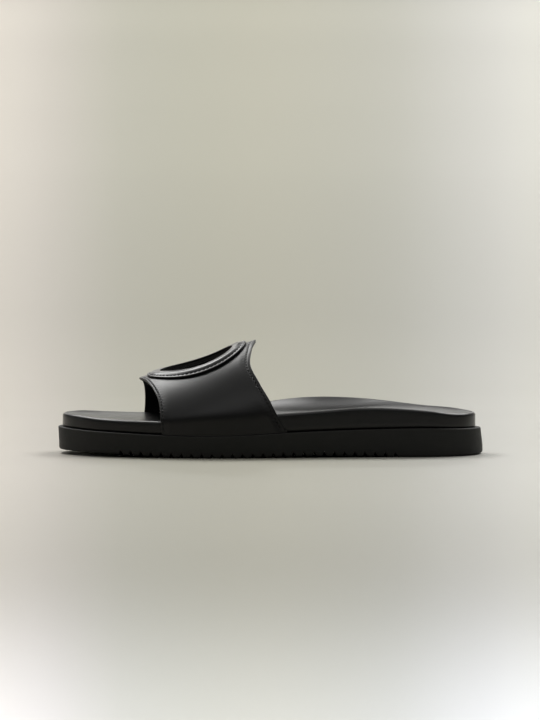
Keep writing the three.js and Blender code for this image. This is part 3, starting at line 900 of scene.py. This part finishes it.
def make_margins(material):
    """The turned-in lasting margins under the footbed, one on each side, skived thin at their tips."""
    tip = STRAP_WALL + MARGIN_WIDTH
    section = (
        (MARGIN_SETBACK, 0), (tip - SKIVE_LENGTH, 0), (tip, SKIVE_LOW), (tip, MARGIN_WALL - SKIVE_HIGH),
        (STRAP_WALL, MARGIN_WALL), (MARGIN_SETBACK, MARGIN_WALL),
    )
    for name, turn, side in (("strap_margin_lateral", 0, -1), ("strap_margin_medial", 1, 1)):
        front = float(front_at(turn))
        back = float(back_at(turn))
        x = np.linspace(front, back, MARGIN_LINES)
        inward = -skin_normal(x, np.full_like(x, turn))
        inward[:, 2] = 0
        inward /= np.linalg.norm(inward, axis=1, keepdims=True)
        edge = np.stack([x, edge_across(x, side, WALL_INSET), np.zeros_like(x)], -1)
        rows = []
        for reach, rise in section:
            row = edge + inward * reach
            row[:, 2] = strap_floor(row[:, 0]) + rise
            rows.append(row)
        loop = np.stack(rows + [rows[0]], 1)
        sheets = Sheets()
        sheets.grid(loop)
        for end in (0, -1):
            cap = loop[end][:-1]
            sheets.grid(np.stack([cap[:3], cap[:2:-1]]))
        finish_piece(sheets.make(name, material, LEATHER_SHARP), "strap_leather")


# Ring

RING_STEPS = 420
RING_CORNER_LINES = 6
RING_TOP_LINES = 52
RING_FOOT_LINES = 9


def ring_rise(inset):
    """Height of the ring's top: a plain border, the stitched groove and a padded ridge inside it."""
    share = np.clip((inset - RING_STITCH_INSET) / (RING_BAND - RING_STITCH_INSET), 0, 1)
    outer = np.exp(-RIDGE_EDGE * share / RIDGE_PLACE)
    inner = np.exp(-RIDGE_EDGE * (1 - share) / (1 - RIDGE_PLACE))
    ridge = -RING_SWELL * np.log(outer + inner) / RIDGE_EDGE
    border = RING_FALL * (1 - np.clip(inset / RING_STITCH_INSET, 0, 1)) ** RING_FALL_POWER
    groove = SEAM_DIP * np.exp(-(((inset - RING_STITCH_INSET) / RING_SEAM_HALF) ** 2))
    return RING_WALL + ridge - border - groove


def ring_profile():
    """The ring's section from its outer foot over the crown to its inner foot.

    Gives the inset and lift of each point, and whether the face from it is cut edge or foot and so painted.
    """
    corner = RING_CORNER
    outer = float(ring_rise(0.0))
    inner = float(ring_rise(RING_BAND))
    points = [(RING_FOOT, 0), (0, RING_FOOT), (0, (outer - corner) / 2), (0, outer - corner)]
    for turn in np.linspace(0, math.pi / 2, RING_CORNER_LINES)[1:]:
        points.append((corner * (1 - math.cos(turn)), outer - corner * (1 - math.sin(turn))))
    for inset in np.linspace(corner, RING_BAND - corner, RING_TOP_LINES)[1:-1]:
        points.append((inset, float(ring_rise(inset))))
    for turn in np.linspace(math.pi / 2, 0, RING_CORNER_LINES)[:-1]:
        points.append((RING_BAND - corner * (1 - math.cos(turn)), inner - corner * (1 - math.sin(turn))))
    points += [(RING_BAND, lift) for lift in (inner - corner, inner / 2, RING_FOOT)]
    points.append((RING_BAND - RING_FOOT, 0))
    points += [(inset, 0) for inset in np.linspace(RING_BAND, 0, RING_FOOT_LINES)[1:-1]]
    painted = [
        inset in (0, RING_BAND) and lift < inner - corner / 2 or lift <= RING_FOOT
        for inset, lift in points
    ]
    return points, painted


def even_angles(inset, spacing):
    """Angles round an oval that lie an even distance apart, as near to the spacing as the oval allows."""
    fine = np.linspace(0, 2 * math.pi, FINE + 1)
    x, turn = oval_place(fine, inset)
    line = skin(x, turn)
    lengths = np.concatenate([[0], np.cumsum(np.linalg.norm(np.diff(line, axis=0), axis=1))])
    count = round(lengths[-1] / spacing)
    return np.interp(np.arange(count) * lengths[-1] / count, lengths, fine)


def ring_point(angle, inset, lift):
    """Points of the ring at a lift over the padded strap. The ring thins towards the front."""
    x, turn = oval_place(angle, inset)
    normal = skin_normal(x, turn)
    thin = 1 - RING_THIN * (1 - np.cos(angle)) / 2
    return skin(x, turn) + normal * (padding(x, turn) + GAP + lift * thin)[:, None]


RING_ANGLES = even_angles(RING_STITCH_INSET, RING_STITCH)
RING_HOLES = np.append(RING_ANGLES, RING_ANGLES[0] + 2 * math.pi)


def make_ring(material, paint):
    points, painted = ring_profile()
    angle = np.linspace(0, 2 * math.pi, RING_STEPS + 1)[:-1]
    slot = stitch_slot(seam_phase(angle, RING_HOLES))
    rows = []
    for inset, lift in points:
        near = math.exp(-(((inset - RING_STITCH_INSET) / RING_SLOT_HALF) ** 2))
        sunk = SLOT * slot * near if lift > RING_SLOTTED else 0
        rows.append(ring_point(angle, inset, lift - sunk))
    rows.append(rows[0])
    sheets = Sheets()
    sheets.grid(np.stack(rows), wrap=True)
    ring = sheets.make("ring_leather", material, ROUND_SHARP)
    ring.data.materials.append(paint)
    slots = np.repeat(np.array(painted, dtype=int), len(angle))
    ring.data.polygons.foreach_set("material_index", slots)
    return finish_piece(ring, "ring_leather", "strap_ring")


# Stitches

THREAD_SIDES = 7
THREAD_RINGS = 8

# Shares of the thread: how far its ends dive, and its thickness at the ends and what the middle adds
THREAD_DIVE = 0.8
THREAD_ENDS = 0.55
THREAD_SWELL = 0.45


def make_stitches(name, starts, ends, normals, material, slot):
    """Threads laid from hole to hole, each a slim tube that dives in at both ends."""
    sheets = Sheets()
    for start, end, normal in zip(starts, ends, normals):
        way = end - start
        length = np.linalg.norm(way)
        way = way / length
        across = np.cross(normal, way)
        rows = []
        for t in np.linspace(0, 1, THREAD_RINGS):
            middle = start + (end - start) * t
            lift = THREAD * (math.sin(math.pi * t) ** 0.5 - THREAD_DIVE)
            thick = THREAD / 2 * (THREAD_ENDS + THREAD_SWELL * math.sin(math.pi * t))
            turn = np.linspace(0, 2 * math.pi, THREAD_SIDES, endpoint=False)
            circle = across[None, :] * np.cos(turn)[:, None] + normal[None, :] * np.sin(turn)[:, None]
            rows.append(middle + normal * lift + circle * thick)
        sheets.grid(np.stack(rows), wrap=True)
        for row in (rows[0], rows[-1]):
            middle = np.broadcast_to(row.mean(0), row.shape)
            sheets.grid(np.stack([row, middle]), wrap=True)
    return finish_piece(sheets.make(name, material, ROUND_SHARP), slot)


def make_edge_stitches(material):
    for name, turns, at, inset in (
        ("stitches_front", EDGE_TURNS["front"], front_at, FRONT_STITCH),
        ("stitches_back", EDGE_TURNS["back"], back_at, -BACK_STITCH),
    ):
        def point(turn):
            x = at(turn) + inset
            normal = skin_normal(x, turn)
            lift = border_roll(x, turn)[..., None] - SEAM_DIP - THREAD / 2 - THREAD_SINK
            return skin(x, turn) + normal * lift, normal

        gap = (turns[1:] - turns[:-1]) * STITCH_GAP
        starts, normals = point(turns[:-1] + gap)
        ends, _ = point(turns[1:] - gap)
        make_stitches(name, starts, ends, normals, material, "strap_leather")


def make_ring_stitches(material):
    gap = (RING_HOLES[1:] - RING_HOLES[:-1]) * STITCH_GAP
    lift = float(ring_rise(RING_STITCH_INSET)) - THREAD / 2 - THREAD_SINK
    starts = ring_point(RING_HOLES[:-1] + gap, RING_STITCH_INSET, np.full(len(gap), lift))
    ends = ring_point(RING_HOLES[1:] - gap, RING_STITCH_INSET, np.full(len(gap), lift))
    x, turn = oval_place(RING_HOLES[:-1], RING_STITCH_INSET)
    make_stitches("stitches_ring", starts, ends, skin_normal(x, turn), material, "ring_leather")


# Stage, lights and camera, all in metres

CAMERA_DISTANCE = 2.0
CAMERA_HEIGHT = 0.1418
CAMERA_PITCH = math.radians(2.269)
CAMERA_LENS = 149.3
CAMERA_SENSOR = 36
CAMERA_REACH = 60


def make_camera():
    data = bpy.data.cameras.new("camera")
    data.lens = CAMERA_LENS
    data.sensor_width = CAMERA_SENSOR
    data.clip_end = CAMERA_REACH
    camera = bpy.data.objects.new("camera", data)
    camera.location = (0, -CAMERA_DISTANCE, CAMERA_HEIGHT)
    camera.rotation_euler = (math.pi / 2 - CAMERA_PITCH, 0, 0)
    bpy.context.scene.collection.objects.link(camera)
    bpy.context.scene.camera = camera


# The floor runs from front to back, where it curves up. Its lines are close from near to back.
SWEEP_FRONT = -2.6
SWEEP_NEAR = -1.3
SWEEP_BACK = 0.7
SWEEP_RADIUS = 1.3
SWEEP_HALF = 3.2
SWEEP_TOP = 3.2
FLOOR_LINES = 12
CURVE_LINES = 40
ACROSS_LINES = 9

# The paper's tone with a random mottle, and painted light and shade over it: darker in the middle of the
# fan of sight lines and lighter to both sides, lighter towards the front of the floor, lighter partway up
# the curve behind and darker above. The stops of each run from 0 to 1 over its span.
SWEEP_TINTS = ((1.9, 1.858, 1.57), (1.98, 1.93, 1.634))
FAN_SPAN = (-0.1, 0.1)
PAINTED_LIGHT_ACROSS = (
    (0, (0.92, 0.89, 0.94)), (0.12, (0.79, 0.765, 0.82)), (0.25, (0.633, 0.632, 0.644)),
    (0.5, (0.625, 0.625, 0.625)), (0.72, (0.656, 0.664, 0.704)), (0.88, (0.82, 0.83, 0.92)),
    (1, (0.92, 0.93, 1.0)),
)
DEPTH_SPAN = (-1.2, 0.8)
PAINTED_LIGHT_DEPTH = (
    (0, 0.8), (0.36, 0.79), (0.54, 0.713), (0.64, 0.63), (0.79, 0.546), (0.9, 0.51), (1, 0.487),
)
HEIGHT_SPAN = (0, 1.2)
PAINTED_LIGHT_HEIGHT = (
    (0, 0.532), (0.067, 0.528), (0.178, 0.636), (0.25, 0.7), (0.31, 0.742), (0.37, 0.75), (0.85, 0.35),
)


def make_stage():
    """A seamless pale sweep: a level floor that curves up behind the sandal."""
    material, tree, shader = node_material("sweep_paper_painted_light")
    coordinates = tree.nodes.new("ShaderNodeTexCoord")
    split = tree.nodes.new("ShaderNodeSeparateXYZ")
    tree.links.new(coordinates.outputs["Object"], split.inputs["Vector"])

    def curve_of(source, limits, stops):
        """A smooth curve through stops, whose places run from 0 to 1 between the limits of the source."""
        span = tree.nodes.new("ShaderNodeMapRange")
        span.inputs["From Min"].default_value, span.inputs["From Max"].default_value = limits
        tree.links.new(source, span.inputs["Value"])
        ramp = tree.nodes.new("ShaderNodeValToRGB")
        ramp.color_ramp.interpolation = "CARDINAL"
        points = ramp.color_ramp.elements
        while len(points) < len(stops):
            points.new(len(points) / len(stops))
        for point, (at, color) in zip(points, stops):
            point.position = at
            point.color = (*color, 1) if isinstance(color, tuple) else (color, color, color, 1)
        tree.links.new(span.outputs["Result"], ramp.inputs["Fac"])
        return ramp.outputs["Color"]

    def times(a, b):
        mix = tree.nodes.new("ShaderNodeMix")
        mix.data_type = "RGBA"
        mix.blend_type = "MULTIPLY"
        mix.inputs["Factor"].default_value = 1
        tree.links.new(a, mix.inputs["A"])
        tree.links.new(b, mix.inputs["B"])
        return mix.outputs["Result"]

    def calculate(operation, a, b):
        math_node = tree.nodes.new("ShaderNodeMath")
        math_node.operation = operation
        tree.links.new(a, math_node.inputs[0])
        if isinstance(b, float):
            math_node.inputs[1].default_value = b
        else:
            tree.links.new(b, math_node.inputs[1])
        return math_node.outputs["Value"]

    mottle = link_noise(tree, scale=3, detail=2)
    tint = tint_between(tree, mottle.outputs["Fac"], *SWEEP_TINTS)
    fan = calculate("DIVIDE", split.outputs["X"], calculate("ADD", split.outputs["Y"], CAMERA_DISTANCE))
    wide = curve_of(fan, FAN_SPAN, PAINTED_LIGHT_ACROSS)
    depth = curve_of(split.outputs["Y"], DEPTH_SPAN, PAINTED_LIGHT_DEPTH)
    height = curve_of(split.outputs["Z"], HEIGHT_SPAN, PAINTED_LIGHT_HEIGHT)
    # Painted light and shade: the paper's colour is multiplied by the curves across, in depth and in
    # height, which stand in for how the lamps fall on it.
    tree.links.new(times(times(times(tint, depth), height), wide), shader.inputs["Base Color"])
    shader.inputs["Roughness"].default_value = 0.5
    shader.inputs["Specular IOR Level"].default_value = 0.1
    profile = [(SWEEP_FRONT, 0.0)] + [(y, 0.0) for y in np.linspace(SWEEP_NEAR, SWEEP_BACK, FLOOR_LINES)]
    for turn in np.linspace(0, math.pi / 2, CURVE_LINES)[1:]:
        profile.append((SWEEP_BACK + SWEEP_RADIUS * math.sin(turn), SWEEP_RADIUS * (1 - math.cos(turn))))
    profile.append((SWEEP_BACK + SWEEP_RADIUS, SWEEP_TOP))
    across = np.linspace(-SWEEP_HALF, SWEEP_HALF, ACROSS_LINES)
    rows = np.array([[(x, y, z) for x in across] for y, z in profile]) / MM
    sheets = Sheets()
    sheets.grid(rows)
    sheets.make("sweep", material, PAPER_SHARP)


SOFT_WHITE = (1, 0.995, 0.98)
PURE_WHITE = (1, 1, 1)
COOL_WHITE = (0.77, 0.81, 0.94)

# Three boxes stand above and behind, a low one at the back, and weak ones in front and off the ends.
# Columns: name, place, target, width and height, power in watts, colour and spread in degrees.
LIGHTS = (
    ("back_left", (-0.64, 0.93, 1.3), (-0.2, 0.15, 0), (0.9, 0.84), 17, SOFT_WHITE, 180),
    ("back_middle", (0.06, 1.0, 1.3), (0, 0.15, 0), (0.5, 0.7), 1.1, SOFT_WHITE, 180),
    ("back_right", (0.85, 1.0, 1.3), (0.2, 0.15, 0), (1.08, 0.7), 17, SOFT_WHITE, 180),
    ("back_low", (0, 1.8, 0.64), (0, 0, 0.05), (2.0, 0.24), 4.6, SOFT_WHITE, 180),
    ("front_fill", (0.05, -0.75, 1.3), (0, -0.1, 0), (0.9, 0.6), 1.0, PURE_WHITE, 180),
    ("foreground", (0, -1.25, 0.6), (0, -1.25, 0), (2.4, 0.2), 5.1, COOL_WHITE, 90),
    ("left", (-1.5, 0.3, 0.35), (0, 0, 0.03), (0.7, 0.6), 0.4, PURE_WHITE, 180),
    ("right", (1.5, 0.3, 0.35), (0, 0, 0.03), (0.7, 0.6), 0.12, PURE_WHITE, 180),
)

# The room's strength goes up between two values of the sky's height.
ROOM_COLOR = (1.0, 0.99, 0.96, 1)
ROOM_HEIGHT = (0.1, 0.75)
ROOM_STRENGTH = (0.03, 0.38)


def add_area(name, location, target, size, power, color, spread):
    """A rectangular light that faces its target."""
    data = bpy.data.lights.new(name, "AREA")
    data.spread = math.radians(spread)
    data.shape = "RECTANGLE"
    data.size, data.size_y = size
    data.energy = power
    data.color = color
    light = bpy.data.objects.new(name, data)
    light.location = location
    way = Vector(target) - Vector(location)
    light.rotation_euler = way.to_track_quat("-Z", "Y").to_euler()
    bpy.context.scene.collection.objects.link(light)


def make_lights():
    """The area lights in a dim room."""
    world = bpy.data.worlds.new("studio")
    world.use_nodes = True
    tree = world.node_tree
    background = tree.nodes["Background"]
    background.inputs["Color"].default_value = ROOM_COLOR
    coordinates = tree.nodes.new("ShaderNodeTexCoord")
    split = tree.nodes.new("ShaderNodeSeparateXYZ")
    span = tree.nodes.new("ShaderNodeMapRange")
    span.inputs["From Min"].default_value, span.inputs["From Max"].default_value = ROOM_HEIGHT
    span.inputs["To Min"].default_value, span.inputs["To Max"].default_value = ROOM_STRENGTH
    tree.links.new(coordinates.outputs["Generated"], split.inputs["Vector"])
    tree.links.new(split.outputs["Z"], span.inputs["Value"])
    tree.links.new(span.outputs["Result"], background.inputs["Strength"])
    bpy.context.scene.world = world
    for light in LIGHTS:
        add_area(*light)


make_camera()
make_stage()
make_lights()
bpy.context.scene.view_settings.view_transform = "Standard"

strap_skin = leather(
    "calf_strap", dark=(0.0008, 0.0008, 0.0009), light=(0.0018, 0.0018, 0.002),
    rough=(0.29, 0.38), grain=2100, depth=0.1,
)
ring_skin = leather(
    "calf_ring", dark=(0.0035, 0.0035, 0.0037), light=(0.005, 0.005, 0.0053),
    rough=(0.26, 0.33), grain=2100, depth=0.08, coat=0.12,
)
bed_skin = leather(
    "calf_footbed", dark=(0.001, 0.001, 0.0011), light=(0.003, 0.0029, 0.0032),
    rough=(0.27, 0.38), grain=1500, depth=0.12,
)
lining_skin = leather(
    "calf_lining", dark=(0.005, 0.005, 0.005), light=(0.008, 0.008, 0.008),
    rough=(0.5, 0.62), grain=1300, depth=0.18,
)
sole_skin = rubber("sole_rubber")
thread = thread_material("waxed_thread")
edge_paint = paint_material("edge_paint")

make_outsole(sole_skin)
make_footbed(bed_skin)
make_strap(strap_skin, lining_skin, edge_paint)
make_margins(lining_skin)
make_ring(ring_skin, edge_paint)
make_edge_stitches(thread)
make_ring_stitches(thread)
